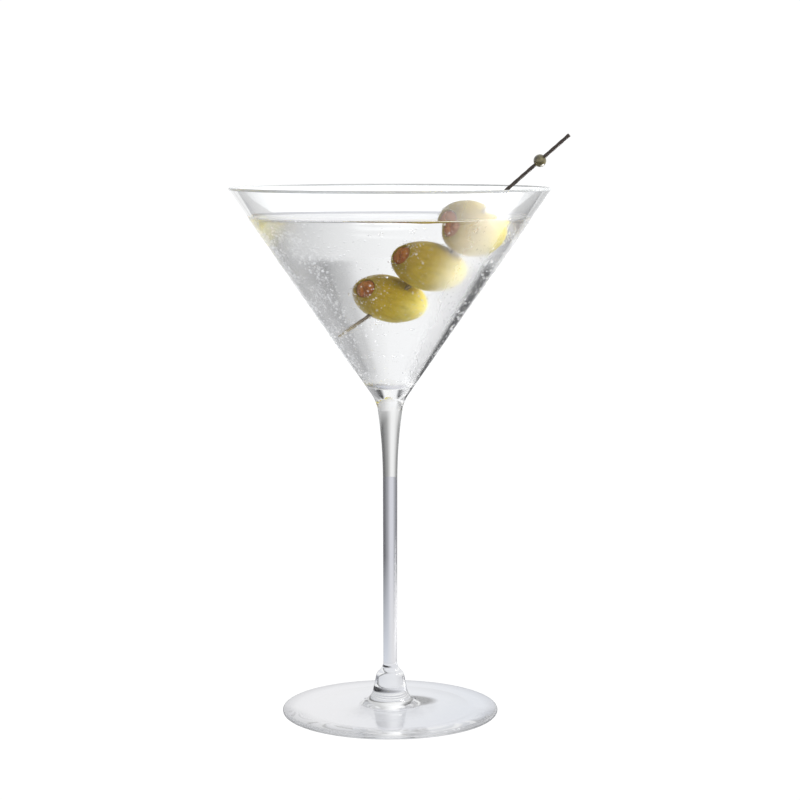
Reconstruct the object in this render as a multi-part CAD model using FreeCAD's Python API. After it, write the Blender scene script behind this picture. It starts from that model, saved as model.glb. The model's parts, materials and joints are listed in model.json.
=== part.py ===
import FreeCAD, Part
import math
import os

# A served martini glass: stemmed cone bowl, drink, and three stuffed olives on a beaded pick.
# Millimetres, +Z up. The origin is the centre of the foot's resting plane. The pick leans over
# the rim towards +X and -Y, with its tip low on the -X side of the bowl.

Vector = FreeCAD.Vector

# Glass
HEIGHT = 190.0
RIM_RADIUS = 57.0
WALL = 1.2
BOWL_SLOPE = 0.69  # radius gained per millimetre of height
WELL_RADIUS = 14.8  # rounded bottom of the bowl's inside

# Stem
WAIST_RADIUS = 2.6  # where the stem starts to flare towards the bowl
WAIST_Z = 85.0
FLARE_RADIUS = 178.0  # long arc from the waist up to the bowl's joint
FLARE_TURN = math.radians(8.2)
STEM_FOOT_RADIUS = 2.48
STEM_FOOT_Z = 18.5

# Foot
FOOT_RADIUS = 39.0
FOOT_EDGE = 1.9  # thickness at the rounded edge
REST_RING_RADIUS = 30.0  # inner radius of the flat ring that the glass stands on
RECESS_DEPTH = 0.9

# The boss under the stem: a fillet, a round shoulder, a steep cone and a flare into the disc.
# Headings are angles from straight down, outwards.
BOSS_FILLET = 4.5
SHOULDER_HEADING = math.radians(50)
SHOULDER_RADIUS = 3.0
BOSS_HEADING = math.radians(12)
BOSS_FLARE_Z = 8.0
BOSS_FLARE = 5.9
DISC_HEADING = math.radians(87)

# Drink
DRINK_LEVEL = 178.3
DRINK_GAP = 0.05  # between the drink and the glass
CAVITY_GAP = 0.3  # between the drink and the garnish in it

# Pick, stations measured along it from the point PICK_START
PICK_START = Vector(-14.73, -9.87, 140.59)
PICK_HEADING = math.radians(-22.4)  # from +X towards +Y
PICK_RISE = math.radians(39.9)
PICK_RADIUS = 0.65
PICK_TIP_STATION = -3.2
PICK_TIP_RADIUS = 0.3
PICK_TAPER = 7.0
PICK_END_STATION = 105.6
BEAD_STATION = 92.2
BEAD_RADIUS = 2.2
RUNNING_GAP = 0.05

# Olives: the stuffed end's heading is from -Y towards -X, its tilt is upwards.
# "behind" moves the olive's centre away from the pick along its own axis, "aside" crosswise.
OLIVES = {
    "lower": dict(station=20.15, heading=40.0, tilt=14.0, length=27.4, width=18.2, behind=2.8, aside=-3.6),
    "middle": dict(station=38.85, heading=46.0, tilt=17.0, length=28.6, width=18.4, behind=-0.5, aside=-1.1),
    "upper": dict(station=57.3, heading=39.0, tilt=10.0, length=28.0, width=17.8, behind=3.3, aside=-1.3),
}
PIMENTO_RADIUS = 3.7
PIMENTO_DEPTH = 6.0
PIMENTO_RECESS = 0.2

# Worked out from the above
CONE_TURN = math.atan(BOWL_SLOPE)
RIM_MID = Vector(RIM_RADIUS - WALL / 2, 0, HEIGHT - WALL / 2)
WALL_NORMAL = Vector(math.cos(CONE_TURN), 0, -math.sin(CONE_TURN))
WALL_RUN = Vector(math.sin(CONE_TURN), 0, math.cos(CONE_TURN))
OUTER_RIM = RIM_MID + WALL_NORMAL * (WALL / 2)
INNER_RIM = RIM_MID - WALL_NORMAL * (WALL / 2)
INNER_APEX_Z = INNER_RIM.z - INNER_RIM.x / BOWL_SLOPE
WELL_CENTRE = Vector(0, 0, INNER_APEX_Z + WELL_RADIUS / math.sin(CONE_TURN))
JOINT_Z = WAIST_Z + FLARE_RADIUS * math.sin(FLARE_TURN)
JOINT_RADIUS = WAIST_RADIUS + FLARE_RADIUS * (1 - math.cos(FLARE_TURN))
PICK_AXIS = Vector(
    math.cos(PICK_RISE) * math.cos(PICK_HEADING),
    math.cos(PICK_RISE) * math.sin(PICK_HEADING),
    math.sin(PICK_RISE),
)


def point(radius, z):
    return Vector(radius, 0, z)


def line(start, end):
    return Part.makeLine(start, end)


def arc(start, through, end):
    return Part.Arc(start, through, end).toShape()


def turned(edges, centre=Vector(0, 0, 0), axis=Vector(0, 0, 1)):
    """The solid that a closed outline makes when it turns once about an axis."""
    return Part.Face(Part.Wire(edges)).revolve(centre, axis, 360)


def on_circle(centre, radius, angle):
    """A point of the XZ plane, with the angle counted from straight down towards +X."""
    return centre + Vector(radius * math.sin(angle), 0, -radius * math.cos(angle))


def bowl():
    # outside, from the stem: a tight arc that turns the stem's flare into the cone
    rise = math.cos(FLARE_TURN) - math.cos(CONE_TURN)
    run = math.sin(CONE_TURN) - math.sin(FLARE_TURN)
    cone_radius_at_joint = OUTER_RIM.x - BOWL_SLOPE * (OUTER_RIM.z - JOINT_Z)
    neck_radius = (cone_radius_at_joint - JOINT_RADIUS) / (rise - BOWL_SLOPE * run)
    neck_start = point(JOINT_RADIUS, JOINT_Z)
    neck_centre = neck_start + Vector(math.cos(FLARE_TURN), 0, -math.sin(FLARE_TURN)) * neck_radius
    middle_turn = (FLARE_TURN + CONE_TURN) / 2
    neck_middle = neck_centre - Vector(math.cos(middle_turn), 0, -math.sin(middle_turn)) * neck_radius
    neck_end = neck_centre - Vector(math.cos(CONE_TURN), 0, -math.sin(CONE_TURN)) * neck_radius
    # inside, from the rim: the cone runs into a spherical well
    well_turn = math.pi / 2 - CONE_TURN
    well_start = on_circle(WELL_CENTRE, WELL_RADIUS, well_turn)
    well_middle = on_circle(WELL_CENTRE, WELL_RADIUS, well_turn / 2)
    well_bottom = on_circle(WELL_CENTRE, WELL_RADIUS, 0)
    return turned([
        line(point(0, JOINT_Z), neck_start),
        arc(neck_start, neck_middle, neck_end),
        line(neck_end, OUTER_RIM),
        arc(OUTER_RIM, RIM_MID + WALL_RUN * (WALL / 2), INNER_RIM),
        line(INNER_RIM, well_start),
        arc(well_start, well_middle, well_bottom),
        line(well_bottom, point(0, JOINT_Z)),
    ])


def stem():
    flare_centre = point(WAIST_RADIUS + FLARE_RADIUS, WAIST_Z)
    half = FLARE_TURN / 2
    flare_middle = flare_centre - Vector(math.cos(half), 0, -math.sin(half)) * FLARE_RADIUS
    return turned([
        line(point(0, STEM_FOOT_Z), point(STEM_FOOT_RADIUS, STEM_FOOT_Z)),
        line(point(STEM_FOOT_RADIUS, STEM_FOOT_Z), point(WAIST_RADIUS, WAIST_Z)),
        arc(point(WAIST_RADIUS, WAIST_Z), flare_middle, point(JOINT_RADIUS, JOINT_Z)),
        line(point(JOINT_RADIUS, JOINT_Z), point(0, JOINT_Z)),
        line(point(0, JOINT_Z), point(0, STEM_FOOT_Z)),
    ])


def bend(start, heading, radius, new_heading):
    """A round stretch of a foot's outline from one heading to another, and the point where it ends."""
    side = radius if new_heading > heading else -radius
    centre = start + Vector(math.cos(heading), 0, math.sin(heading)) * side
    middle_heading = (heading + new_heading) / 2
    middle = centre - Vector(math.cos(middle_heading), 0, math.sin(middle_heading)) * side
    end = centre - Vector(math.cos(new_heading), 0, math.sin(new_heading)) * side
    return arc(start, middle, end), end


def foot():
    boss_start = point(STEM_FOOT_RADIUS, STEM_FOOT_Z)
    fillet, fillet_end = bend(boss_start, 0, BOSS_FILLET, SHOULDER_HEADING)
    shoulder, shoulder_end = bend(fillet_end, SHOULDER_HEADING, SHOULDER_RADIUS, BOSS_HEADING)
    drop = shoulder_end.z - BOSS_FLARE_Z
    flare_start = shoulder_end + Vector(drop * math.tan(BOSS_HEADING), 0, -drop)
    flare, flare_end = bend(flare_start, BOSS_HEADING, BOSS_FLARE, DISC_HEADING)
    edge_radius = FOOT_RADIUS - FOOT_EDGE / 2
    recess_radius = (REST_RING_RADIUS ** 2 + RECESS_DEPTH ** 2) / (2 * RECESS_DEPTH)
    recess_centre = point(0, RECESS_DEPTH - recess_radius)
    half_turn = math.asin(REST_RING_RADIUS / recess_radius) / 2
    recess_middle = recess_centre + Vector(math.sin(half_turn), 0, math.cos(half_turn)) * recess_radius
    return turned([
        line(point(0, STEM_FOOT_Z), boss_start),
        fillet,
        shoulder,
        line(shoulder_end, flare_start),
        flare,
        line(flare_end, point(edge_radius, FOOT_EDGE)),
        arc(point(edge_radius, FOOT_EDGE), point(FOOT_RADIUS, FOOT_EDGE / 2), point(edge_radius, 0)),
        line(point(edge_radius, 0), point(REST_RING_RADIUS, 0)),
        arc(point(REST_RING_RADIUS, 0), recess_middle, point(0, RECESS_DEPTH)),
        line(point(0, RECESS_DEPTH), point(0, STEM_FOOT_Z)),
    ])


def on_pick(station):
    return PICK_START + PICK_AXIS * station


def along_pick(first, last, radius):
    return Part.makeCylinder(radius, last - first, on_pick(first), PICK_AXIS)


def olive_axis(olive):
    heading = math.radians(olive["heading"])
    tilt = math.radians(olive["tilt"])
    level = math.cos(tilt)
    return Vector(-math.sin(heading) * level, -math.cos(heading) * level, math.sin(tilt))


def olive_centre(olive):
    axis = olive_axis(olive)
    across = axis - PICK_AXIS * axis.dot(PICK_AXIS)
    across.normalize()
    aside = PICK_AXIS.cross(across)
    return on_pick(olive["station"]) - across * olive["behind"] + aside * olive["aside"]


def olive_body(olive, grown=0.0):
    """An ellipsoid of revolution, grown or shrunk all over. Its surface is two faces that meet at
    the equator, which STEP keeps more faithfully than one closed face."""
    half_length = olive["length"] / 2 + grown
    half_width = olive["width"] / 2 + grown
    outline = Part.Ellipse(Vector(0, 0, 0), half_length, half_width)
    body = turned([
        Part.Arc(outline, 0, math.pi / 2).toShape(),
        Part.Arc(outline, math.pi / 2, math.pi).toShape(),
        line(Vector(-half_length, 0, 0), Vector(half_length, 0, 0)),
    ], axis=Vector(1, 0, 0))
    body.Placement = FreeCAD.Placement(
        olive_centre(olive), FreeCAD.Rotation(Vector(1, 0, 0), olive_axis(olive))
    )
    return body


def pit(olive, radius, floor_gap):
    """The pit's cylinder at the stuffed end, running out past the olive."""
    axis = olive_axis(olive)
    floor = olive["length"] / 2 - PIMENTO_DEPTH + floor_gap
    return Part.makeCylinder(radius, 2 * PIMENTO_DEPTH, olive_centre(olive) + axis * floor, axis)


def olive_flesh(olive):
    pick_hole = along_pick(PICK_TIP_STATION, BEAD_STATION, PICK_RADIUS + RUNNING_GAP)
    return olive_body(olive).cut(pit(olive, PIMENTO_RADIUS + RUNNING_GAP, 0)).cut(pick_hole)


def pimento(olive):
    return pit(olive, PIMENTO_RADIUS, RUNNING_GAP).common(olive_body(olive, -PIMENTO_RECESS))


def pick_shaft():
    taper_end = PICK_TIP_STATION + PICK_TAPER
    point_of_pick = Part.makeCone(
        PICK_TIP_RADIUS, PICK_RADIUS, PICK_TAPER, on_pick(PICK_TIP_STATION), PICK_AXIS
    )
    shaft = along_pick(taper_end, PICK_END_STATION, PICK_RADIUS)
    return shaft.fuse(point_of_pick).removeSplitter()


def pick_bead():
    ball = Part.makeSphere(BEAD_RADIUS, on_pick(BEAD_STATION), PICK_AXIS)
    hole = along_pick(
        BEAD_STATION - 2 * BEAD_RADIUS, BEAD_STATION + 2 * BEAD_RADIUS, PICK_RADIUS + RUNNING_GAP
    )
    return ball.cut(hole)


def drink():
    """The liquid, with the room that the garnish takes up in it."""
    well_radius = WELL_RADIUS - DRINK_GAP
    well_turn = math.pi / 2 - CONE_TURN
    well_start = on_circle(WELL_CENTRE, well_radius, well_turn)
    well_middle = on_circle(WELL_CENTRE, well_radius, well_turn / 2)
    well_bottom = on_circle(WELL_CENTRE, well_radius, 0)
    surface_edge = point(well_start.x + BOWL_SLOPE * (DRINK_LEVEL - well_start.z), DRINK_LEVEL)
    liquid = turned([
        arc(well_bottom, well_middle, well_start),
        line(well_start, surface_edge),
        line(surface_edge, point(0, DRINK_LEVEL)),
        line(point(0, DRINK_LEVEL), well_bottom),
    ])
    rooms = [olive_body(olive, CAVITY_GAP) for olive in OLIVES.values()]
    rooms.append(along_pick(PICK_TIP_STATION - CAVITY_GAP, BEAD_STATION, PICK_RADIUS + CAVITY_GAP))
    return liquid.cut(rooms)


def nodes():
    shapes = {
        "bowl": bowl(),
        "stem": stem(),
        "foot": foot(),
        "drink": drink(),
        "pick_shaft": pick_shaft(),
        "pick_bead": pick_bead(),
    }
    for place, olive in OLIVES.items():
        shapes["olive_" + place] = olive_flesh(olive)
        shapes["pimento_" + place] = pimento(olive)
    return shapes


os.makedirs("parts", exist_ok=True)
for node, shape in nodes().items():
    shape.exportStep("parts/" + node + ".step")
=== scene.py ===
import json
import math
import random

import bpy
import numpy as np
from mathutils import Matrix, Vector, noise


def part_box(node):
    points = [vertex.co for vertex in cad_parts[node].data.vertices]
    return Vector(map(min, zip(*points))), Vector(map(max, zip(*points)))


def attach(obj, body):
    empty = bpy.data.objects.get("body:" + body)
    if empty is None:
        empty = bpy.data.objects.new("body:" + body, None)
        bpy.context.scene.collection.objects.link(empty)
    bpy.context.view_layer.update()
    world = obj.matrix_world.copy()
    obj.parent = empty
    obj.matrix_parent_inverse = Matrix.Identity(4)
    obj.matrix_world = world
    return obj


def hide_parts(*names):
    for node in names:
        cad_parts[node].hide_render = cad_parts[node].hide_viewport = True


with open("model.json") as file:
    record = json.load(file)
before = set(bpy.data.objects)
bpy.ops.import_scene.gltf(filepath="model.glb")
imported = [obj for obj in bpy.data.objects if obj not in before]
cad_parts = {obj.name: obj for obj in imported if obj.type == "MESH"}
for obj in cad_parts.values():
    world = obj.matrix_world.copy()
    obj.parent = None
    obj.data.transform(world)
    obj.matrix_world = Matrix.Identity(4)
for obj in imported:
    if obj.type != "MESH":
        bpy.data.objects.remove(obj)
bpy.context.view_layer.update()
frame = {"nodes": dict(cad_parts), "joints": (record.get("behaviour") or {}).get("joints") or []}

MM = 0.001
random.seed(7)

# Glass, as in the CAD (metres)
HEIGHT = 190 * MM
RIM_RADIUS = 57 * MM
WALL = 1.2 * MM
BOWL_SLOPE = 0.69
WELL_RADIUS = 14.8 * MM
WAIST_RADIUS = 2.6 * MM
WAIST_Z = 85 * MM
FLARE_RADIUS = 178 * MM
FLARE_TURN = math.radians(8.2)
STEM_FOOT_RADIUS = 2.48 * MM
STEM_FOOT_Z = 18.5 * MM
FOOT_RADIUS = 39 * MM
FOOT_EDGE = 1.9 * MM
REST_RING_RADIUS = 30 * MM
RECESS_DEPTH = 0.9 * MM
BOSS_FILLET = 4.5 * MM
SHOULDER_HEADING = math.radians(50)
SHOULDER_RADIUS = 3.0 * MM
BOSS_HEADING = math.radians(12)
BOSS_FLARE_Z = 8.0 * MM
BOSS_FLARE = 5.9 * MM
DISC_HEADING = math.radians(87)

# Drink
DRINK_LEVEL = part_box("drink")[1].z + 1.4 * MM
MENISCUS_RISE = 0.45 * MM
MENISCUS_LENGTH = 0.7 * MM
DRINK_GAP = 0.02 * MM
GLASS_IOR = 1.5
DRINK_IOR = 1.355
WATER_IOR = 1.33
GLASS_TINT = (0.992, 0.996, 0.994)

ROUND_STEPS = 256
ON_AXIS = 1e-7
FLOOR_GAP = 0.2 * MM
MOST_BOUNCES = 256

# Material indexes of a piece that has one shown and one hidden material
SHOWN = 0
HIDDEN = 1

# Worked out
CONE_TURN = math.atan(BOWL_SLOPE)
CONE_NORMAL = (math.cos(CONE_TURN), -math.sin(CONE_TURN))
RIM_MID = (RIM_RADIUS - WALL / 2, HEIGHT - WALL / 2)
OUTER_RIM = (RIM_MID[0] + CONE_NORMAL[0] * WALL / 2, RIM_MID[1] + CONE_NORMAL[1] * WALL / 2)
INNER_RIM = (RIM_MID[0] - CONE_NORMAL[0] * WALL / 2, RIM_MID[1] - CONE_NORMAL[1] * WALL / 2)
OUTER_APEX_Z = OUTER_RIM[1] - OUTER_RIM[0] / BOWL_SLOPE
INNER_APEX_Z = INNER_RIM[1] - INNER_RIM[0] / BOWL_SLOPE
WELL_CENTRE_Z = INNER_APEX_Z + WELL_RADIUS / math.sin(CONE_TURN)
JOINT_Z = WAIST_Z + FLARE_RADIUS * math.sin(FLARE_TURN)
JOINT_RADIUS = WAIST_RADIUS + FLARE_RADIUS * (1 - math.cos(FLARE_TURN))


# ---------------------------------------------------------------- meshes

def new_object(name, vertices, faces, materials, face_materials=None, sharp=math.radians(35)):
    mesh = bpy.data.meshes.new(name)
    mesh.from_pydata(vertices, [], faces)
    for material in materials:
        mesh.materials.append(material)
    if face_materials is not None:
        mesh.polygons.foreach_set("material_index", face_materials)
    mesh.polygons.foreach_set("use_smooth", [True] * len(mesh.polygons))
    if sharp is not None:
        mesh.set_sharp_from_angle(angle=sharp)
    mesh.update()
    piece = bpy.data.objects.new(name, mesh)
    bpy.context.scene.collection.objects.link(piece)
    return piece


def spin(outline, steps, vertex):
    """Turns an outline of (radius, along) about its axis. vertex(a, b, along) makes each vertex. Gives
    the vertices, and the faces of each stretch between two points of the outline."""
    vertices = []
    rings = []
    for radius, along in outline:
        if radius < ON_AXIS:
            rings.append([len(vertices)] * steps)
            vertices.append(vertex(0.0, 0.0, along))
            continue
        rings.append(list(range(len(vertices), len(vertices) + steps)))
        for i in range(steps):
            angle = 2 * math.pi * i / steps
            vertices.append(vertex(radius * math.cos(angle), radius * math.sin(angle), along))
    bands = []
    for low, high in zip(rings, rings[1:]):
        band = []
        for i in range(steps):
            j = (i + 1) % steps
            band.append(tuple(dict.fromkeys((low[i], low[j], high[j], high[i]))))
        bands.append(band)
    return vertices, bands


def lathe(name, stretches, materials):
    """Turns an outline about Z. Each stretch is (points, material index), and starts where the last
    one ended. The outline runs from the axis to the axis with the solid on its left."""
    outline = [stretches[0][0][0]]
    indexes = []
    for points, index in stretches:
        outline += points[1:]
        indexes += [index] * (len(points) - 1)
    vertices, bands = spin(outline, ROUND_STEPS, lambda x, y, z: (x, y, z))
    faces = []
    face_materials = []
    for band, index in zip(bands, indexes):
        faces += band
        face_materials += [index] * len(band)
    return new_object(name, vertices, faces, materials, face_materials)


def swing(centre, radius, first, last, steps):
    """Points of a circle. Angles are counted from the outward direction towards +Z."""
    angles = np.linspace(first, last, steps + 1)
    return [(centre[0] + radius * math.cos(a), centre[1] + radius * math.sin(a)) for a in angles]


def straight(start, end):
    """A straight stretch with a ring close to each end, so that smoothing doesn't bend its middle."""
    start, end = np.array(start), np.array(end)
    return [tuple(start + (end - start) * share) for share in (0, 0.004, 0.5, 0.996, 1)]


def cone_radius(z, apex_z):
    return BOWL_SLOPE * (z - apex_z)


def well_points(radius, steps):
    """The rounded bottom of the bowl's inside, from the axis out to where the cone starts."""
    points = swing((0, WELL_CENTRE_Z), radius, -math.pi / 2, -CONE_TURN, steps)
    points[0] = (0.0, points[0][1])
    return points


def bend(start, heading, radius, new_heading, steps):
    """A round stretch going down the foot's outline. Headings are from straight down, outwards."""
    side = radius if new_heading > heading else -radius
    centre = (start[0] + math.cos(heading) * side, start[1] + math.sin(heading) * side)
    headings = np.linspace(heading, new_heading, steps + 1)
    return [(centre[0] - math.cos(h) * side, centre[1] - math.sin(h) * side) for h in headings]


# ---------------------------------------------------------------- materials

class Nodes:
    """Short calls for building one node tree."""

    def __init__(self, tree):
        self.tree = tree
        self.tree.nodes.clear()

    def feed(self, socket, value):
        if isinstance(value, bpy.types.NodeSocket):
            self.tree.links.new(value, socket)
        else:
            socket.default_value = value

    def add(self, kind, values=None, **settings):
        node = self.tree.nodes.new(kind)
        for key, value in settings.items():
            setattr(node, key, value)
        for key, value in (values or {}).items():
            self.feed(node.inputs[key], value)
        return node

    def place(self):
        """Where a point is, in metres, in its piece's own frame."""
        return self.add("ShaderNodeTexCoord").outputs["Object"]

    def parts(self, vector):
        return self.add("ShaderNodeSeparateXYZ", {0: vector}).outputs

    def math(self, operation, a, b=0.0, clamp=False):
        node = self.add("ShaderNodeMath", {0: a, 1: b}, operation=operation, use_clamp=clamp)
        return node.outputs[0]

    def vector(self, operation, a, b):
        node = self.add("ShaderNodeVectorMath", {0: a, 1: b}, operation=operation)
        return node.outputs["Vector"]

    def length(self, vector):
        return self.add("ShaderNodeVectorMath", {0: vector}, operation="LENGTH").outputs["Value"]

    def fade(self, value, first, last, start=0.0, end=1.0, shape="LINEAR"):
        """A level that goes from start to end while value goes from first to last."""
        node = self.add("ShaderNodeMapRange", {
            "Value": value, "From Min": first, "From Max": last, "To Min": start, "To Max": end,
        }, interpolation_type=shape)
        return node.outputs["Result"]

    def ramp(self, factor, stops):
        node = self.add("ShaderNodeValToRGB", {"Fac": factor})
        elements = node.color_ramp.elements
        while len(elements) < len(stops):
            elements.new(0.5)
        for element, (place, colour) in zip(elements, stops):
            element.position = place
            element.color = (*colour, 1)
        return node.outputs["Color"]

    def noise(self, vector, scale, detail=3.0, roughness=0.5):
        node = self.add(
            "ShaderNodeTexNoise",
            {"Vector": vector, "Scale": scale, "Detail": detail, "Roughness": roughness},
        )
        return node.outputs["Fac"]

    def mix(self, factor, a, b, blend="MIX"):
        node = self.add("ShaderNodeMix", {0: factor, 6: a, 7: b}, data_type="RGBA", blend_type=blend)
        return node.outputs[2]

    def bump(self, height, strength, distance):
        node = self.add("ShaderNodeBump", {"Height": height, "Strength": strength, "Distance": distance})
        return node.outputs["Normal"]

    def surface(self, values):
        return self.add("ShaderNodeBsdfPrincipled", values).outputs["BSDF"]

    def mix_shaders(self, factor, a, b):
        return self.add("ShaderNodeMixShader", {0: factor, 1: a, 2: b}).outputs[0]

    def lamps_pass(self, surface):
        """Lets lamps and the light for matt pieces straight through a clear surface."""
        path = self.add("ShaderNodeLightPath").outputs
        through = self.add("ShaderNodeBsdfTransparent").outputs["BSDF"]
        lit = self.mix_shaders(path["Is Diffuse Ray"], surface, through)
        return self.mix_shaders(path["Is Shadow Ray"], lit, through)

    def output(self, surface, kind="ShaderNodeOutputMaterial"):
        self.add(kind, {"Surface": surface})


def material(name):
    made = bpy.data.materials.new(name)
    made.use_nodes = True
    return made, Nodes(made.node_tree)


def clear_material(name, ior, tint, haze=None, fog_and_painted_reflection=None):
    """Glass or liquid. Condensation gives it haze, which is roughness by bearing. A milky share by
    bearing turns some glass matt white: a painted reflection, with condensation fog below the drink's
    line."""
    made, nodes = material(name)
    place = nodes.place()
    ripple = nodes.noise(place, 45.0, 1.0)
    bump = nodes.bump(ripple, 0.04, 0.001)
    values = {
        "Base Color": (*tint, 1),
        "Roughness": 0.0,
        "IOR": ior,
        "Transmission Weight": 1.0,
        "Normal": bump,
    }
    if haze:
        patches = nodes.noise(place, 120.0, 4.0, 0.6)
        patchy = nodes.math("MULTIPLY", nodes.math("SUBTRACT", patches, 0.4, True), HAZE_PATCHES)
        values["Roughness"] = nodes.math("ADD", patchy, bearing_level(nodes, place, haze))
    # Matt white where the milky share is high: a painted reflection, with condensation fog below the
    # drink's line
    if fog_and_painted_reflection:
        values["Transmission Weight"] = nodes.math("SUBTRACT", 1.0, bearing_level(nodes, place, fog_and_painted_reflection))
    nodes.output(nodes.lamps_pass(nodes.surface(values)))
    return made


def rim_material():
    """The fire-polished rim. Its tight curve gathers light from all round, so it looks milky."""
    made, nodes = material("glass_rim")
    place = nodes.place()
    uneven = nodes.noise(place, 60.0, 2.0)
    rim = nodes.surface({
        "Base Color": nodes.ramp(uneven, [(0.3, (0.7, 0.72, 0.72)), (0.7, (0.85, 0.87, 0.87))]),
        "Roughness": 0.12,
        "IOR": GLASS_IOR,
        "Transmission Weight": 0.35,
    })
    nodes.output(rim)
    return made


def water_material():
    """Condensation. The drops gather the light of the room and look brighter than what is behind."""
    made, nodes = material("condensation_water")
    place = nodes.place()
    painted_light_noise = nodes.noise(place, 900.0, 2.0)
    # The matt white share and the faint glow are painted light, for the room's light that the drops
    # gather
    drop = nodes.surface({
        "Base Color": nodes.ramp(painted_light_noise, [(0.3, (0.86, 0.88, 0.9)), (0.7, (1, 1, 1))]),
        "Roughness": 0.02,
        "IOR": WATER_IOR,
        "Transmission Weight": 0.85,
        "Emission Color": WHITE,
        "Emission Strength": 0.1,
    })
    nodes.output(nodes.lamps_pass(drop))
    return made


def unseen_material(name):
    """A face inside one clear body, where nothing bends the light."""
    made, nodes = material(name)
    nodes.output(nodes.add("ShaderNodeBsdfTransparent").outputs["BSDF"])
    return made


OLIVE_HALF_LENGTH = 14 * MM


def olive_material():
    """Cured green olive: brownish green round the mouth, paler and yellower towards the back end. The
    paler back end is painted light, coloured as if lit through from behind.
    """
    made, nodes = material("olive_skin")
    place = nodes.place()
    along = nodes.parts(place)["X"]
    length = nodes.fade(along, -OLIVE_HALF_LENGTH, OLIVE_HALF_LENGTH)
    stretched = nodes.vector("MULTIPLY", place, (0.3, 1, 1))
    streaks = nodes.noise(stretched, 500.0, 4.0, 0.6)
    broad = nodes.noise(place, 110.0, 3.0)
    uneven = nodes.math("MULTIPLY", nodes.math("SUBTRACT", broad, 0.5), 0.35)
    painted_backlight_share = nodes.math("ADD", length, uneven)
    # Painted light: pale yellow at the back end, as if lit through from behind, darkening to brownish
    # green at the mouth
    ground = nodes.ramp(painted_backlight_share, [
        (0.0, (0.64, 0.6, 0.24)), (0.3, (0.62, 0.52, 0.1)), (0.6, (0.5, 0.37, 0.025)),
        (0.85, (0.4, 0.28, 0.02)), (1.0, (0.27, 0.19, 0.018)),
    ])
    lines = nodes.ramp(streaks, [(0.36, (0.78, 0.76, 0.6)), (0.5, (1, 1, 1)), (0.66, (1.12, 1.1, 1.2))])
    streaked = nodes.mix(0.8, ground, lines, "MULTIPLY")
    pores = nodes.add("ShaderNodeTexVoronoi", {"Vector": place, "Scale": 1100.0}).outputs["Distance"]
    dots = nodes.ramp(pores, [(0.1, (1.0, 1.0, 1.0)), (0.2, (0, 0, 0))])
    speckled = nodes.mix(nodes.math("MULTIPLY", dots, 0.35), streaked, (0.75, 0.68, 0.36, 1))
    relief = nodes.math("ADD", streaks, nodes.math("MULTIPLY", broad, 0.5))
    bump = nodes.bump(relief, 0.3, 0.3 * MM)
    skin = nodes.surface({
        "Base Color": speckled,
        "Roughness": nodes.math("ADD", nodes.math("MULTIPLY", streaks, 0.25), 0.2),
        "IOR": 1.4,
        "Specular IOR Level": 0.2,
        "Subsurface Weight": 0.7,
        "Subsurface Radius": (1.0, 0.8, 0.25),
        "Subsurface Scale": 5 * MM,
        "Normal": bump,
    })
    nodes.output(skin)
    return made


def pimento_material():
    """Pickled red pepper paste, browned by the brine, with a fibrous grain."""
    made, nodes = material("pimento_flesh")
    place = nodes.place()
    grain = nodes.noise(place, 700.0, 5.0, 0.65)
    broad = nodes.noise(place, 260.0, 2.0)
    mottle = nodes.math("ADD", nodes.math("MULTIPLY", grain, 0.6), nodes.math("MULTIPLY", broad, 0.4))
    colour = nodes.ramp(mottle, [
        (0.32, (0.2, 0.05, 0.006)), (0.5, (0.36, 0.115, 0.014)), (0.68, (0.5, 0.21, 0.04)),
    ])
    bump = nodes.bump(mottle, 0.6, 0.4 * MM)
    flesh = nodes.surface({
        "Base Color": colour,
        "Roughness": nodes.math("ADD", nodes.math("MULTIPLY", grain, 0.3), 0.25),
        "IOR": 1.4,
        "Specular IOR Level": 0.25,
        "Subsurface Weight": 0.35,
        "Subsurface Radius": (1.0, 0.3, 0.12),
        "Subsurface Scale": 2 * MM,
        "Normal": bump,
    })
    nodes.output(flesh)
    return made


def wood_material(first, last):
    """Bamboo along local X: a bleached tip, stained where the olives sit, and dark bark outside."""
    made, nodes = material("pick_bamboo")
    place = nodes.place()
    along = nodes.parts(place)["X"]
    share = nodes.fade(along, first, last)
    ground = nodes.ramp(share, [
        (0.0, (0.42, 0.32, 0.12)), (0.06, (0.36, 0.29, 0.14)), (0.11, (0.2, 0.16, 0.11)),
        (0.2, (0.22, 0.16, 0.05)), (0.62, (0.24, 0.18, 0.05)), (0.7, (0.05, 0.037, 0.028)),
        (1.0, (0.045, 0.033, 0.026)),
    ])
    fibres = nodes.vector("MULTIPLY", place, (0.25, 1, 1))
    grain = nodes.noise(fibres, 2600.0, 4.0, 0.6)
    shade = nodes.ramp(grain, [(0.3, (0.5, 0.48, 0.45)), (0.5, (1, 1, 1)), (0.72, (1.7, 1.6, 1.5))])
    bump = nodes.bump(grain, 0.6, 0.15 * MM)
    wood = nodes.surface({
        "Base Color": nodes.mix(1.0, ground, shade, "MULTIPLY"),
        "Roughness": nodes.math("ADD", nodes.math("MULTIPLY", grain, 0.4), 0.25),
        "Normal": bump,
    })
    nodes.output(wood)
    return made


def bead_material():
    """A small lacquered wooden bead, mottled olive brown."""
    made, nodes = material("bead_lacquer")
    place = nodes.place()
    mottle = nodes.noise(place, 700.0, 4.0, 0.6)
    colour = nodes.ramp(mottle, [
        (0.32, (0.035, 0.03, 0.01)), (0.5, (0.11, 0.09, 0.03)), (0.7, (0.26, 0.22, 0.09)),
    ])
    bump = nodes.bump(mottle, 0.3, 0.2 * MM)
    ball = nodes.surface({
        "Base Color": colour,
        "Roughness": nodes.math("ADD", nodes.math("MULTIPLY", mottle, 0.2), 0.15),
        "Coat Weight": 1.0,
        "Coat Roughness": 0.04,
        "Normal": bump,
    })
    nodes.output(ball)
    return made


# ---------------------------------------------------------------- glass and drink

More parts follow.
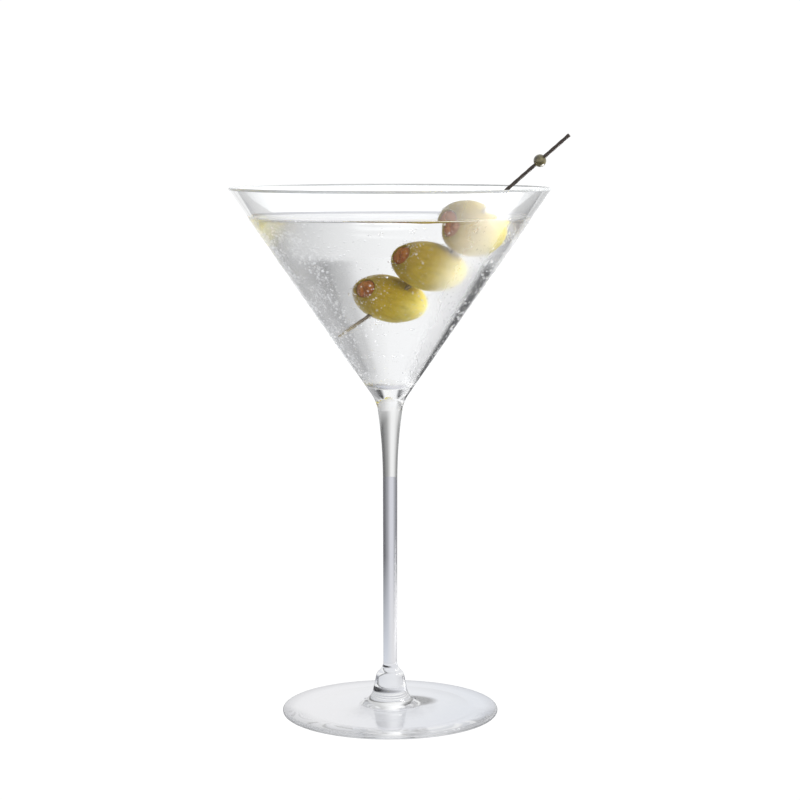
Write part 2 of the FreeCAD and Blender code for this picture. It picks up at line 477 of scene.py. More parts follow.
def bowl_piece(materials, contact_z):
    """The cone with its solid bottom. The materials are clear, wetted, unseen, fogged, rim and dry."""
    clear, wetted, unseen, fogged, polished, dry = range(6)
    rise = math.cos(FLARE_TURN) - math.cos(CONE_TURN)
    run = math.sin(CONE_TURN) - math.sin(FLARE_TURN)
    cone_at_joint = cone_radius(JOINT_Z, OUTER_APEX_Z)
    neck_radius = (cone_at_joint - JOINT_RADIUS) / (rise - BOWL_SLOPE * run)
    neck_centre = (
        JOINT_RADIUS + math.cos(FLARE_TURN) * neck_radius,
        JOINT_Z - math.sin(FLARE_TURN) * neck_radius,
    )
    neck = swing(neck_centre, neck_radius, math.pi - FLARE_TURN, math.pi - CONE_TURN, 24)
    rim = swing(RIM_MID, WALL / 2, -CONE_TURN, math.pi - CONE_TURN, 16)
    contact = (cone_radius(contact_z, INNER_APEX_Z), contact_z)
    fog_top = (cone_radius(contact_z, OUTER_APEX_Z), contact_z)
    well = well_points(WELL_RADIUS, 40)[::-1]
    return lathe("glass_bowl", [
        ([(0.0, JOINT_Z), neck[0]], unseen),
        (neck, clear),
        (straight(neck[-1], fog_top), fogged),
        (straight(fog_top, rim[0]), dry),
        (rim, polished),
        (straight(rim[-1], contact), clear),
        (straight(contact, well[0]), wetted),
        (well, wetted),
    ], materials)


def stem_piece(glass, unseen):
    flare_centre = (WAIST_RADIUS + FLARE_RADIUS, WAIST_Z)
    flare = swing(flare_centre, FLARE_RADIUS, math.pi, math.pi - FLARE_TURN, 32)
    return lathe("glass_stem", [
        ([(0.0, STEM_FOOT_Z), (STEM_FOOT_RADIUS, STEM_FOOT_Z)], HIDDEN),
        (straight((STEM_FOOT_RADIUS, STEM_FOOT_Z), flare[0]), SHOWN),
        (flare, SHOWN),
        ([flare[-1], (0.0, JOINT_Z)], HIDDEN),
    ], [glass, unseen])


def foot_piece(glass, unseen):
    fillet = bend((STEM_FOOT_RADIUS, STEM_FOOT_Z), 0, BOSS_FILLET, SHOULDER_HEADING, 16)
    shoulder = bend(fillet[-1], SHOULDER_HEADING, SHOULDER_RADIUS, BOSS_HEADING, 12)
    drop = shoulder[-1][1] - BOSS_FLARE_Z
    flare_start = (shoulder[-1][0] + drop * math.tan(BOSS_HEADING), BOSS_FLARE_Z)
    flare = bend(flare_start, BOSS_HEADING, BOSS_FLARE, DISC_HEADING, 20)
    edge_radius = FOOT_RADIUS - FOOT_EDGE / 2
    edge = swing((edge_radius, FOOT_EDGE / 2), FOOT_EDGE / 2, math.pi / 2, -math.pi / 2, 16)
    recess_radius = (REST_RING_RADIUS ** 2 + RECESS_DEPTH ** 2) / (2 * RECESS_DEPTH)
    recess_turn = math.asin(REST_RING_RADIUS / recess_radius)
    recess = swing(
        (0, RECESS_DEPTH - recess_radius), recess_radius, math.pi / 2 - recess_turn, math.pi / 2, 20
    )
    recess[-1] = (0.0, RECESS_DEPTH)
    outline = [([(0.0, STEM_FOOT_Z), fillet[0]], HIDDEN)]
    for points in (
        fillet,
        shoulder,
        straight(shoulder[-1], flare[0]),
        flare,
        straight(flare[-1], edge[0]),
        edge,
        [edge[-1], recess[0]],
        recess,
    ):
        outline.append((points, SHOWN))
    backwards = [(points[::-1], index) for points, index in outline[::-1]]
    return lathe("glass_foot", backwards, [glass, unseen])


def drink_piece(surface, unseen, contact_z):
    well = well_points(WELL_RADIUS - DRINK_GAP, 40)
    side_gap = DRINK_GAP / math.cos(CONE_TURN)
    edge = (cone_radius(contact_z, INNER_APEX_Z) - side_gap, contact_z)
    climb = MENISCUS_LENGTH * np.geomspace(1e-3, 8, 28)
    top = [edge]
    for step in climb:
        rise = MENISCUS_RISE * math.exp(-step / MENISCUS_LENGTH)
        top.append((edge[0] - step, DRINK_LEVEL + rise))
    top += [(radius, DRINK_LEVEL) for radius in (top[-1][0] * np.linspace(0.97, 0, 12))]
    top[-1] = (0.0, DRINK_LEVEL)
    return lathe("drink_liquid", [
        (well, HIDDEN),
        ([well[-1], edge], HIDDEN),
        (top, SHOWN),
    ], [surface, unseen])


# ---------------------------------------------------------------- garnish

PICK_JOINT = next(j for j in frame["joints"] if j["name"] == "olive_lower_turn")
PICK_AXIS = Vector(PICK_JOINT["axis"]).normalized()
PICK_START = Vector(PICK_JOINT["pos_m"])


def node_points(node):
    mesh = frame["nodes"][node].data
    points = np.empty(len(mesh.vertices) * 3)
    mesh.vertices.foreach_get("co", points)
    return points.reshape(-1, 3)


def pick_stations(node):
    """How far along the pick a node's two ends are."""
    along = (node_points(node) - np.array(PICK_START)) @ np.array(PICK_AXIS)
    return along.min(), along.max()


def axis_matrix(centre, axis):
    """Puts local X along axis, with local Z as near to straight up as it goes."""
    side = Vector((0, 0, 1)).cross(axis).normalized()
    up = axis.cross(side)
    return Matrix((
        (axis.x, side.x, up.x, centre.x),
        (axis.y, side.y, up.y, centre.y),
        (axis.z, side.z, up.z, centre.z),
        (0, 0, 0, 1),
    ))


def olive_frame(place):
    """The centre, axis, half length and half width of a CAD olive. The axis points at its pimento."""
    low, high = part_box("olive_" + place)
    centre = (low + high) / 2
    plug = Vector(node_points("pimento_" + place).mean(0))
    axis = (plug - centre).normalized()
    offsets = node_points("olive_" + place) - np.array(centre)
    along = offsets @ np.array(axis)
    aside = np.linalg.norm(offsets - np.outer(along, np.array(axis)), axis=1)
    return centre, axis, -along.min(), aside.max()


def turned_piece(name, outline, matrix, steps, dent, materials):
    """A closed skin turned about the X of matrix and moved by dent(point). Its outline of (x, radius)
    starts on the axis at the low end, and the faces then point outwards."""
    turned = [(radius, x) for x, radius in outline]
    vertices, bands = spin(turned, steps, lambda y, z, x: dent(Vector((x, y, z))))
    piece = new_object(name, vertices, sum(bands, []), materials, sharp=None)
    piece.matrix_world = matrix
    return piece


MOUTH_RADIUS = 3.75 * MM
MOUTH_DEPTH = 2.4 * MM
LIP = 0.5 * MM
SKIN_INSET = 0.15 * MM
LUMP_HEIGHT = 0.25 * MM
PORE_HEIGHT = 0.04 * MM
PRICK_DEPTH = 0.35 * MM
PRICK_RADIUS = 1.1 * MM
PLUG_GAP = 0.1 * MM
PLUG_RISE = 0.3 * MM
PLUG_DOME = 1.3 * MM
PUCKER_HEIGHT = 0.35 * MM
CREASE_DEPTH = 0.45 * MM
PICK_RADIUS = 0.65 * MM
PICK_TAPER = 7 * MM
PICK_POINT_SHARE = 0.45
# How far along the pick it twists by one radian
PICK_TWIST = 1.1 * MM


def olive_pieces(place, skin, flesh):
    """The dented skin with its rolled mouth, and the puckered plug of pimento in it."""
    centre, axis, half_length, half_width = olive_frame(place)
    matrix = axis_matrix(centre, axis)
    inverse = matrix.inverted()
    start = inverse @ PICK_START
    direction = (inverse.to_3x3() @ PICK_AXIS).normalized()
    seed = sum(map(ord, place))

    def dent(spot):
        lump = noise.noise(spot * 160 + Vector((seed, 0, 0))) * LUMP_HEIGHT
        pore = noise.noise(spot * 900 + Vector((0, seed, 0))) * PORE_HEIGHT
        away = spot - start
        from_pick = (away - direction * away.dot(direction)).length
        prick = PRICK_DEPTH * math.exp(-((from_pick / PRICK_RADIUS) ** 2))
        long_square, wide_square = half_length ** 2, half_width ** 2
        outwards = Vector((spot.x / long_square, spot.y / wide_square, spot.z / wide_square))
        if outwards.length < 1e-9:
            return spot
        return spot + outwards.normalized() * (lump + pore - prick - SKIN_INSET)

    outline = []
    mouth_turn = math.asin((MOUTH_RADIUS + LIP) / half_width)
    for turn in np.linspace(math.pi, mouth_turn, 90):
        outline.append((half_length * math.cos(turn), half_width * math.sin(turn)))
    outline[0] = (-half_length, 0.0)
    mouth_x = outline[-1][0]
    for turn in np.linspace(0, math.pi / 2, 8)[1:]:
        rolled = LIP * (0.3 * math.sin(2 * turn) - 1 + math.cos(turn))
        outline.append((mouth_x + rolled, MOUTH_RADIUS + LIP * math.cos(turn)))
    floor_x = mouth_x - MOUTH_DEPTH
    outline.append((floor_x, MOUTH_RADIUS - 0.3 * MM))
    outline.append((floor_x, 0.0))
    olive = turned_piece("olive_%s_skin" % place, outline, matrix, 128, dent, [skin])
    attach(olive, "olive_" + place)
    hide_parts("olive_" + place)

    def pucker(spot):
        lump = noise.noise(spot * 420 + Vector((0, 0, seed))) * PUCKER_HEIGHT
        fold = abs(spot.y + 0.4 * MM + 0.5 * MM * math.sin(spot.z / MM)) / MM
        crease = CREASE_DEPTH * math.exp(-fold ** 2 * 4)
        if spot.x > floor_x + 0.5 * MM:
            return spot + Vector((lump - crease, 0, 0))
        return spot

    plug_radius = MOUTH_RADIUS - PLUG_GAP
    plug_top = mouth_x + PLUG_RISE
    plug_bottom = floor_x + PLUG_GAP
    plug = [(plug_bottom, 0.0), (plug_bottom, plug_radius - 0.5 * MM)]
    for turn in np.linspace(math.pi / 2, 0, 24):
        sunk = PLUG_DOME * (1 - math.cos(turn) ** 0.8)
        plug.append((plug_top - sunk, plug_radius * math.sin(turn)))
    plug[-1] = (plug_top, 0.0)
    pimento = turned_piece("pimento_%s_plug" % place, plug, matrix, 64, pucker, [flesh])
    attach(pimento, "olive_" + place)
    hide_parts("pimento_" + place)


def pick_pieces():
    """The twisted, tapered shaft and the bead near its upper end."""
    first, last = pick_stations("pick_shaft")
    matrix = axis_matrix(PICK_START, PICK_AXIS)
    outline = [(first, 0.0)]
    for along in np.linspace(first, last, 400):
        grown = (1 - PICK_POINT_SHARE) * (along - first) / PICK_TAPER
        taper = min(1.0, PICK_POINT_SHARE + grown)
        outline.append((along, PICK_RADIUS * taper * 0.97))
    outline.append((last, 0.0))

    def twist(spot):
        radial = Vector((0, spot.y, spot.z))
        if radial.length < 1e-9:
            return spot
        angle = math.atan2(spot.z, spot.y) + spot.x / PICK_TWIST
        ridge = 0.06 * math.cos(2 * angle) + 0.05 * noise.noise(Vector((spot.x * 700, 0, 0)))
        return spot + radial * ridge

    wood = wood_material(first, last)
    shaft = turned_piece("pick_shaft_twig", outline, matrix, 20, twist, [wood])
    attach(shaft, "pick")
    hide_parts("pick_shaft")

    low, high = pick_stations("pick_bead")
    middle, bead_radius = (low + high) / 2, (high - low) / 2 + 0.1 * MM
    ball = []
    mouth = math.asin(PICK_RADIUS * 1.02 / bead_radius)
    for turn in np.linspace(math.pi - mouth, mouth, 48):
        ball.append((middle + bead_radius * math.cos(turn), bead_radius * math.sin(turn)))
    ball = [(ball[0][0], 0.0), *ball, (ball[-1][0], 0.0)]
    bead = turned_piece("pick_bead_ball", ball, matrix, 64, lambda spot: spot, [bead_material()])
    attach(bead, "pick")
    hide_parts("pick_bead")


# ---------------------------------------------------------------- wet details

class Beads:
    """Many small closed caps or balls gathered into one mesh."""

    def __init__(self):
        self.vertices = []
        self.faces = []
        self.materials = []

    def ring(self, centre, across, along, radius, steps, wobble):
        first = len(self.vertices)
        for i in range(steps):
            angle = 2 * math.pi * i / steps
            reach = radius * (1 + wobble[i % len(wobble)])
            outwards = across * math.cos(angle) + along * math.sin(angle)
            self.vertices.append(centre + outwards * reach)
        return list(range(first, first + steps))

    def face(self, corners, material):
        self.faces.append(corners)
        self.materials.append(material)

    def band(self, low, high, material):
        for i in range(len(low)):
            j = (i + 1) % len(low)
            self.face((low[i], low[j], high[j], high[i]), material)

    def tip(self, ring, top, material):
        self.vertices.append(top)
        for i in range(len(ring)):
            self.face((ring[i], ring[(i + 1) % len(ring)], len(self.vertices) - 1), material)

    def cap(self, centre, normal, radius, height, steps, levels):
        """A drop that sits on a wall. Its flat underside is hidden."""
        across = normal.orthogonal().normalized()
        along = normal.cross(across)
        wobble = [random.uniform(-0.13, 0.13) for _ in range(steps)]
        base = self.ring(centre, across, along, radius, steps, wobble)
        self.face(tuple(base[::-1]), HIDDEN)
        low = base
        for level in range(1, levels):
            turn = math.pi / 2 * level / levels
            lifted = centre + normal * (height * math.sin(turn))
            high = self.ring(lifted, across, along, radius * math.cos(turn), steps, wobble)
            self.band(low, high, SHOWN)
            low = high
        self.tip(low, centre + normal * height, SHOWN)

    def ball(self, centre, radius, steps, levels):
        up, across, along = Vector((0, 0, 1)), Vector((1, 0, 0)), Vector((0, 1, 0))
        low = None
        for level in range(1, levels):
            turn = math.pi * level / levels - math.pi / 2
            lifted = centre + up * (radius * math.sin(turn))
            high = self.ring(lifted, across, along, radius * math.cos(turn), steps, [0])
            if low is None:
                self.tip(high[::-1], centre - up * radius, SHOWN)
            else:
                self.band(low, high, SHOWN)
            low = high
        self.tip(low, centre + up * radius, SHOWN)

    def piece(self, name, materials, body, slot):
        made = new_object(name, self.vertices, self.faces, materials, self.materials, sharp=None)
        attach(made, body)


def outer_wall(bearing, z):
    """A point of the outer cone and its normal, by bearing from the front (-Y) towards +X."""
    out = Vector((math.sin(bearing), -math.cos(bearing), 0))
    normal = out * CONE_NORMAL[0] + Vector((0, 0, CONE_NORMAL[1]))
    return out * cone_radius(z, OUTER_APEX_Z) + Vector((0, 0, z)), normal


# How thickly drops stand on the bowl, by bearing in degrees from the front towards +X.
# The three tables below this one count the bearing from straight behind towards +X.
DROP_SHARES = (
    (-180, 0.1), (-110, 0.3), (-80, 1.0), (-38, 1.0), (-22, 0.3), (0, 0.06), (30, 0.1), (50, 0.5),
    (90, 0.6), (180, 0.1),
)
# Roughness of the outside of the bowl where condensation hazes it
HAZE = (
    (-180, 0.02), (-158, 0.05), (-140, 0.22), (-92, 0.22), (-80, 0.0), (80, 0.0), (92, 0.08),
    (118, 0.12), (130, 0.32), (145, 0.25), (165, 0.03), (180, 0.02),
)
HAZE_PATCHES = 0.16
# How milky the bowl looks below the drink's line, and above it. Below the line this is condensation fog
# with a painted reflection; above it, on the dry wall, it is only a painted reflection.
FOG_AND_PAINTED_REFLECTION = (
    (-180, 0.0), (-158, 0.02), (-140, 0.08), (-92, 0.04), (-80, 0.0), (118, 0.0), (130, 0.16),
    (142, 0.2), (156, 0.03), (180, 0.0),
)
PAINTED_REFLECTION_DRY_WALL = (
    (-180, 0.0), (-92, 0.0), (80, 0.0), (92, 0.05), (120, 0.1), (138, 0.3), (154, 0.26), (166, 0.05),
    (180, 0.0),
)
DROP_TRIES = 56000
DROP_LIFT = 0.004 * MM
DROP_DENSITY = 0.7
DROP_FADE = 9 * MM
DROP_CLEAR_OF_JOINT = 6 * MM
SMALLEST_DROP = 0.1 * MM
LARGEST_DROP = 0.45 * MM
COARSE_DROP = 0.24 * MM
BEADS_PER_OLIVE = 160


def drop_pieces(water, unseen, contact_z):
    """Condensation that stands on the outside of the bowl, below the line of the cold drink."""
    bearings, shares = zip(*DROP_SHARES)
    fine, coarse = Beads(), Beads()
    lowest = JOINT_Z + DROP_CLEAR_OF_JOINT
    for _ in range(DROP_TRIES):
        bearing = random.uniform(-180, 180)
        z = lowest + (contact_z - lowest) * math.sqrt(random.uniform(0, 1))
        place, normal = outer_wall(math.radians(bearing), z)
        clump = 0.5 + 1.3 * noise.noise(place * 110)
        fade = min(1.0, (contact_z - z) / DROP_FADE)
        keep = np.interp(bearing, bearings, shares) * clump * fade * DROP_DENSITY
        radius = min(SMALLEST_DROP * random.paretovariate(1.9), LARGEST_DROP)
        tall = radius * random.uniform(0.55, 0.85)
        if random.random() > keep:
            continue
        place += normal * DROP_LIFT
        if radius > COARSE_DROP:
            coarse.cap(place, normal, radius, tall, 16, 4)
        else:
            fine.cap(place, normal, radius, tall, 8, 2)
    fine.piece("condensation_fine", [water, unseen], "glass", "drink")
    coarse.piece("condensation_drops", [water, unseen], "glass", "drink")


def bead_pieces(place, water):
    """Tiny beads that cling to an olive, most of them round its mouth."""
    centre, axis, half_length, half_width = olive_frame(place)
    matrix = axis_matrix(centre, axis)
    beads = Beads()
    for _ in range(BEADS_PER_OLIVE):
        turn = random.choice((random.gauss(0.65, 0.15), random.uniform(0.4, 2.4)))
        around = random.uniform(0, 2 * math.pi)
        spot = Vector((
            half_length * math.cos(turn),
            half_width * math.sin(turn) * math.cos(around),
            half_width * math.sin(turn) * math.sin(around),
        ))
        beads.ball(matrix @ (spot * 1.01), random.uniform(0.09, 0.2) * MM, 10, 6)
    beads.piece("beads_" + place, [water, water], "olive_" + place, "drink")


# ---------------------------------------------------------------- stage

# How bright the room is, by bearing in degrees from straight behind the glass towards +X
LOW_ROOM = (
    (-180, 1.0), (-125, 0.9), (-108, 0.1), (-42, 0.12), (-28, 0.4), (-18, 1.0), (0, 0.95), (8, 0.84),
    (18, 0.68), (30, 0.6), (46, 0.6), (98, 0.5), (110, 0.7), (125, 0.9), (180, 1.0),
)
MIDDLE_ROOM = (
    (-180, 1.0), (-125, 0.9), (-108, 0.12), (-74, 0.14), (-58, 0.7), (-40, 1.05), (-14, 1.12), (0, 0.97),
    (8, 0.84), (18, 0.68), (30, 0.58), (46, 0.6), (98, 0.6), (110, 0.7), (125, 0.9), (180, 1.0),
)
UPPER_ROOM = (
    (-180, 1.0), (-125, 0.9), (-100, 0.6), (-80, 0.8), (-40, 1.05), (-14, 1.1), (0, 0.95), (8, 0.84),
    (18, 0.68), (30, 0.62), (60, 0.55), (84, 0.34), (106, 0.36), (114, 0.7), (125, 0.9), (180, 1.0),
)
CEILING_EDGE_ROOM = (
    (-180, 1.0), (-128, 0.9), (-114, 0.06), (-52, 0.06), (-40, 0.9), (0, 1.0), (55, 0.9), (72, 0.06),
    (120, 0.06), (134, 0.9), (180, 1.0),
)
EYE_LEVEL_ROOM = (
    (-180, 0.9), (-125, 0.8), (-100, 0.4), (-45, 0.5), (-25, 0.85), (-12, 0.97), (0, 0.92), (8, 0.84),
    (19, 0.7), (40, 0.5), (100, 0.45), (125, 0.8), (180, 0.9),
)
TABLE_EDGE_ROOM = (
    (-180, 0.7), (-120, 0.6), (-100, 0.3), (-42, 0.3), (-28, 0.68), (-16, 0.9), (-5, 0.9), (4, 0.62),
    (12, 0.37), (36, 0.14), (100, 0.14), (120, 0.6), (180, 0.7),
)
FAR_TABLE = (
    (-180, 0.7), (-120, 0.6), (-100, 0.3), (-42, 0.24), (-28, 0.42), (-14, 0.7), (-2, 0.69), (4, 0.6),
    (12, 0.37), (36, 0.14), (100, 0.14), (120, 0.6), (180, 0.7),
)
FAR_TABLE_TINT = (0.97, 0.975, 1.06, 1)
FAR_TABLE_RANGE = (0.08, 0.3)
# Each level of the room fades in over a range of upwardness, which is the sine of the elevation
ROOM_LEVELS = (
    (0.05, 0.3, LOW_ROOM), (0.56, 0.62, MIDDLE_ROOM), (0.715, 0.775, UPPER_ROOM),
    (0.83, 0.88, CEILING_EDGE_ROOM),
)
STRAIGHT_BEHIND = ((-180, 0), (-9, 0), (-6, 1), (6, 1), (9, 0), (180, 0))
LIT_PAPER = (1.3, 1.3, 1.3, 1)
TABLE_RADIUS = 0.587
TABLE_EDGE_HEIGHT = 0.15
TABLE_STEPS = 96
TABLE_COLOUR = (0.77, 0.765, 0.79)
# Painted shade: the paper seen through the glass is darker and bluer towards the right
TABLE_PAINTED_SHADE_RIGHT = (0.65, 0.68, 0.75)
BOSS_SHADOW_PLACE = (8.0 * MM, 8.0 * MM, 0)
BOSS_SHADOW_SIZE = (9.0 * MM, 6.5 * MM, 1)
BOSS_SHADOW_COLOUR = (0.0, 0.0, 0.004)
RIM_SHADOW_START = (34 * MM, 38.5 * MM)
RIM_SHADOW_END = (40 * MM, 48 * MM)
RIM_SHADOW_COLOUR = (0.06, 0.06, 0.08)
ROOM_TINT = (0.985, 0.99, 1, 1)
WHITE = (1, 1, 1, 1)
BACKGROUND = 1.05
REFLECTION_LIFT = 0.8
TABLE_REFLECTION_DIM = 0.6
MATT_DIM = 0.4

CAMERA_PLACE = (3.56 * MM, -777.5 * MM, 208 * MM)
CAMERA_DIP = 6.887
CAMERA_LENS = 98.4
CAMERA_SENSOR = 36


def reflected(nodes):
    """1 for light that reaches the eye off a shiny surface, 0 for light that comes through one."""
    path = nodes.add("ShaderNodeLightPath").outputs
    off_shiny = nodes.math("SUBTRACT", 1.0, path["Is Diffuse Ray"])
    return nodes.math("MULTIPLY", path["Is Reflection Ray"], off_shiny)


def bearing_level(nodes, place, stops):
    """The level that stops give for the direction of a point or vector seen from the glass."""
    parts = nodes.parts(place)
    bearing = nodes.math("ARCTAN2", parts["X"], parts["Y"])
    share = nodes.fade(bearing, -math.pi, math.pi)
    return nodes.ramp(share, [((degrees + 180) / 360, (level,) * 3) for degrees, level in stops])


def studio_world():
    """A white room with dark panels at both sides. The camera itself sees plain white behind."""
    world = bpy.data.worlds.new("studio")
    bpy.context.scene.world = world
    world.use_nodes = True
    nodes = Nodes(world.node_tree)
    direction = nodes.add("ShaderNodeTexCoord").outputs["Generated"]
    up = nodes.parts(direction)["Z"]
    walls = bearing_level(nodes, direction, EYE_LEVEL_ROOM)
    for first, last, stops in ROOM_LEVELS:
        risen = nodes.fade(up, first, last)
        walls = nodes.mix(risen, walls, bearing_level(nodes, direction, stops))
    overhead = nodes.fade(up, 0.92, 0.96)
    below_eyes = nodes.fade(up, 0.03, 0.045, 1.0, 0.0)
    behind = nodes.math("MULTIPLY", below_eyes, bearing_level(nodes, direction, STRAIGHT_BEHIND))
    room = nodes.mix(behind, nodes.mix(overhead, walls, WHITE), LIT_PAPER)
    path = nodes.add("ShaderNodeLightPath").outputs
    mirrored = nodes.math("MULTIPLY", reflected(nodes), REFLECTION_LIFT)
    tinted = nodes.mix(1.0, nodes.mix(mirrored, room, WHITE), ROOM_TINT, "MULTIPLY")
    dimmed = nodes.math("MULTIPLY", path["Is Diffuse Ray"], MATT_DIM)
    strength = nodes.math("SUBTRACT", 1.0, dimmed)
    studio = nodes.add("ShaderNodeBackground", {"Color": tinted, "Strength": strength})
    plain = nodes.add("ShaderNodeBackground", {"Color": WHITE, "Strength": BACKGROUND})
    shown = nodes.mix_shaders(path["Is Camera Ray"], studio.outputs[0], plain.outputs[0])
    nodes.output(shown, "ShaderNodeOutputWorld")


def hide_from(piece, *rays):
    for ray in rays:
        setattr(piece, "visible_" + ray, False)


def softbox(name, place, target, width, height, power):
    """An area light that looks at target and can't be seen in or through the glass."""
    lamp = bpy.data.lights.new(name, "AREA")
    lamp.shape = "RECTANGLE"
    lamp.size = width
    lamp.size_y = height
    lamp.energy = power
    shown = bpy.data.objects.new(name, lamp)
    bpy.context.scene.collection.objects.link(shown)
    shown.location = place
    shown.rotation_euler = (Vector(target) - Vector(place)).to_track_quat("-Z", "Y").to_euler()
    hide_from(shown, "transmission", "glossy")


def staged(name, vertices, faces, made):
    piece = new_object(name, vertices, faces, [made], sharp=None)
    return piece


def paper_material(name, shade):
    """Plain white paper for the camera. Through the glass it shows shade(nodes, place)."""
    made, nodes = material(name)
    place = nodes.place()
    lost = nodes.math("MULTIPLY", reflected(nodes), TABLE_REFLECTION_DIM)
    strength = nodes.math("SUBTRACT", 1.0, lost)
    shaded = nodes.add("ShaderNodeEmission", {"Color": shade(nodes, place), "Strength": strength})
    plain = nodes.add("ShaderNodeEmission", {"Color": WHITE, "Strength": BACKGROUND})
    path = nodes.add("ShaderNodeLightPath").outputs
    nodes.output(nodes.mix_shaders(path["Is Camera Ray"], shaded.outputs[0], plain.outputs[0]))
    return made


def table_shade(nodes, place):
    """Paper near the glass, darker and bluer towards the right as painted shade, with the painted
    shadows of the foot's boss and rim. Further out it takes the levels of the room's dark panels."""
    away = nodes.length(place)
    far = nodes.fade(away, *FAR_TABLE_RANGE)
    moved = nodes.vector("SUBTRACT", place, BOSS_SHADOW_PLACE)
    sized = nodes.vector("DIVIDE", moved, BOSS_SHADOW_SIZE)
    boss_shadow = nodes.fade(nodes.length(sized), 0.75, 1.1, 1.0, 0.0)
    under_rim = nodes.fade(away, *RIM_SHADOW_START, 0.0, 0.85)
    past_rim = nodes.fade(away, *RIM_SHADOW_END, 1.0, 0.0)
    parts = nodes.parts(place)
    in_front = nodes.fade(parts["Y"], -30 * MM, 10 * MM, 1.0, 0.3)
    # Painted shade: the paper turns darker and bluer towards the right
    to_right = nodes.fade(parts["X"], -20 * MM, 30 * MM)
    paper = nodes.mix(to_right, (*TABLE_COLOUR, 1), (*TABLE_PAINTED_SHADE_RIGHT, 1))
    rim_shadow = nodes.math("MULTIPLY", nodes.math("MULTIPLY", under_rim, past_rim), in_front)
    ringed = nodes.mix(rim_shadow, paper, (*RIM_SHADOW_COLOUR, 1))
    near = nodes.mix(boss_shadow, ringed, (*BOSS_SHADOW_COLOUR, 1))
    panels = bearing_level(nodes, place, FAR_TABLE)
    distant = nodes.mix(1.0, panels, FAR_TABLE_TINT, "MULTIPLY")
    return nodes.mix(far, near, distant)


def edge_shade(nodes, place):
    """The dark panels stand on the table's edge and fade into the room above it."""
    height = nodes.parts(place)["Z"]
    fade = nodes.fade(height, 0.11, TABLE_EDGE_HEIGHT)
    low = bearing_level(nodes, place, TABLE_EDGE_ROOM)
    high = bearing_level(nodes, place, EYE_LEVEL_ROOM)
    return nodes.mix(fade, low, high)


def table_pieces():
    """A round table top, and the low wall round it that the stem shows."""
    steps = TABLE_STEPS
    angles = [2 * math.pi * i / steps for i in range(steps)]
    low = [(TABLE_RADIUS * math.sin(a), TABLE_RADIUS * math.cos(a), -FLOOR_GAP) for a in angles]
    high = [(x, y, TABLE_EDGE_HEIGHT) for x, y, _ in low]
    staged("floor", low, [tuple(range(steps))[::-1]], paper_material("floor_paper", table_shade))
    band = [(i, (i + 1) % steps, (i + 1) % steps + steps, i + steps) for i in range(steps)]
    wall = staged("backdrop", low + high, band, paper_material("backdrop_paper", edge_shade))
    hide_from(wall, "camera", "diffuse", "shadow", "glossy")


def soft_edge(nodes, value, half, blur):
    """1 in the middle and 0 at the edges of a card that reaches half to both sides."""
    away = nodes.math("ABSOLUTE", value)
    return nodes.fade(away, half - blur, half, 1.0, 0.0, "SMOOTHSTEP")


def reflection_card(name, centre, turn, half, blur, power):
    """A level, soft-edged light card, turned by degrees, that only shows as a reflection."""
    made, nodes = material(name)
    place = nodes.place()
    parts = nodes.parts(place)
    across = soft_edge(nodes, parts["X"], half[0], blur[0])
    along = soft_edge(nodes, parts["Y"], half[1], blur[1])
    strength = nodes.math("MULTIPLY", nodes.math("MULTIPLY", across, along), power)
    light = nodes.add("ShaderNodeEmission", {"Strength": strength})
    through = nodes.add("ShaderNodeBsdfTransparent")
    shown = nodes.add("ShaderNodeAddShader", {0: light.outputs[0], 1: through.outputs[0]})
    nodes.output(shown.outputs[0])
    signs = ((-1, -1), (1, -1), (1, 1), (-1, 1))
    corners = [(x * half[0], y * half[1], 0) for x, y in signs]
    card = staged(name, corners, [(0, 1, 2, 3)], made)
    card.location = centre
    card.rotation_euler = (0, 0, math.radians(turn))
    hide_from(card, "camera", "diffuse", "transmission", "shadow")


def light_paths():
    """Enough bounces for light to find its way along the thin wall and out of its rim."""
    cycles = bpy.context.scene.cycles
    cycles.max_bounces = MOST_BOUNCES
    cycles.glossy_bounces = MOST_BOUNCES
    cycles.transmission_bounces = MOST_BOUNCES
    cycles.transparent_max_bounces = MOST_BOUNCES


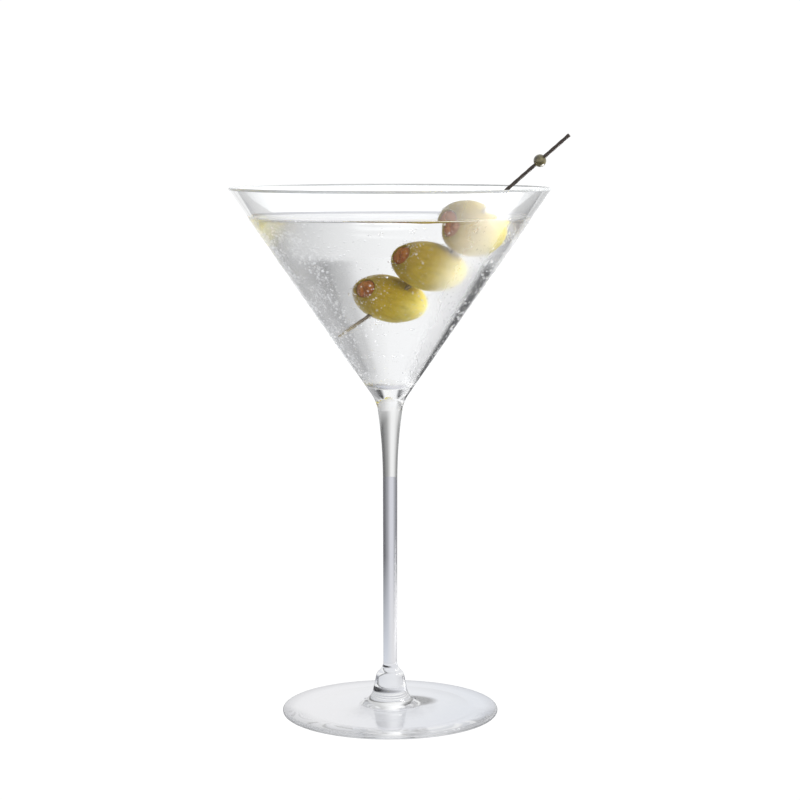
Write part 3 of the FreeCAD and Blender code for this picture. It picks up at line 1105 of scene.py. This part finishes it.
def camera():
    lens = bpy.data.cameras.new("camera")
    lens.lens = CAMERA_LENS
    lens.sensor_width = CAMERA_SENSOR
    shown = bpy.data.objects.new("camera", lens)
    bpy.context.scene.collection.objects.link(shown)
    shown.location = CAMERA_PLACE
    shown.rotation_euler = (math.radians(90 - CAMERA_DIP), 0, 0)
    lens.clip_start = 0.01
    lens.clip_end = 100
    bpy.context.scene.camera = shown


# ---------------------------------------------------------------- build

glass = clear_material("glass_clear", GLASS_IOR, GLASS_TINT)
dry_glass = clear_material("glass_dry_wall", GLASS_IOR, GLASS_TINT, fog_and_painted_reflection=PAINTED_REFLECTION_DRY_WALL)
fogged_glass = clear_material("glass_fogged", GLASS_IOR, GLASS_TINT, haze=HAZE, fog_and_painted_reflection=FOG_AND_PAINTED_REFLECTION)
rim_glass = rim_material()
wet_glass = clear_material("glass_wetted", GLASS_IOR / DRINK_IOR, (1, 1, 1))
liquid = clear_material("drink_surface", DRINK_IOR, (1, 1, 1))
unseen = unseen_material("inside_joint")
water = water_material()

contact_z = DRINK_LEVEL + MENISCUS_RISE
bowl_materials = [glass, wet_glass, unseen, fogged_glass, rim_glass, dry_glass]
for piece, node, slot in (
    (bowl_piece(bowl_materials, contact_z), "bowl", "glass"),
    (stem_piece(glass, unseen), "stem", "glass"),
    (foot_piece(glass, unseen), "foot", "glass"),
    (drink_piece(liquid, unseen, contact_z), "drink", "drink"),
):
    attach(piece, "glass")
    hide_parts(node)

olive_skin = olive_material()
pimento_flesh = pimento_material()
for place in ("lower", "middle", "upper"):
    olive_pieces(place, olive_skin, pimento_flesh)
    bead_pieces(place, water)
pick_pieces()

drop_pieces(water, unseen, contact_z)

studio_world()
table_pieces()
reflection_card(
    "card_table", centre=(0.205, 0.055, 0.001), turn=0, half=(0.145, 0.14), blur=(0.06, 0.09), power=4.2
)
reflection_card(
    "card_rim", centre=(0.1113, -0.0039, 0.12), turn=61.3, half=(0.035, 0.012),
    blur=(0.01, 0.0035), power=13,
)
softbox(
    "key_right", place=(0.9, 0.55, 0.45), target=(0.02, -0.02, 0.165), width=0.5, height=0.7, power=20
)
softbox(
    "front_right", place=(0.7, -1.0, 0.35), target=(0, 0, 0.16), width=0.35, height=0.6, power=5
)
camera()
bpy.context.scene.view_settings.view_transform = "Standard"
light_paths()
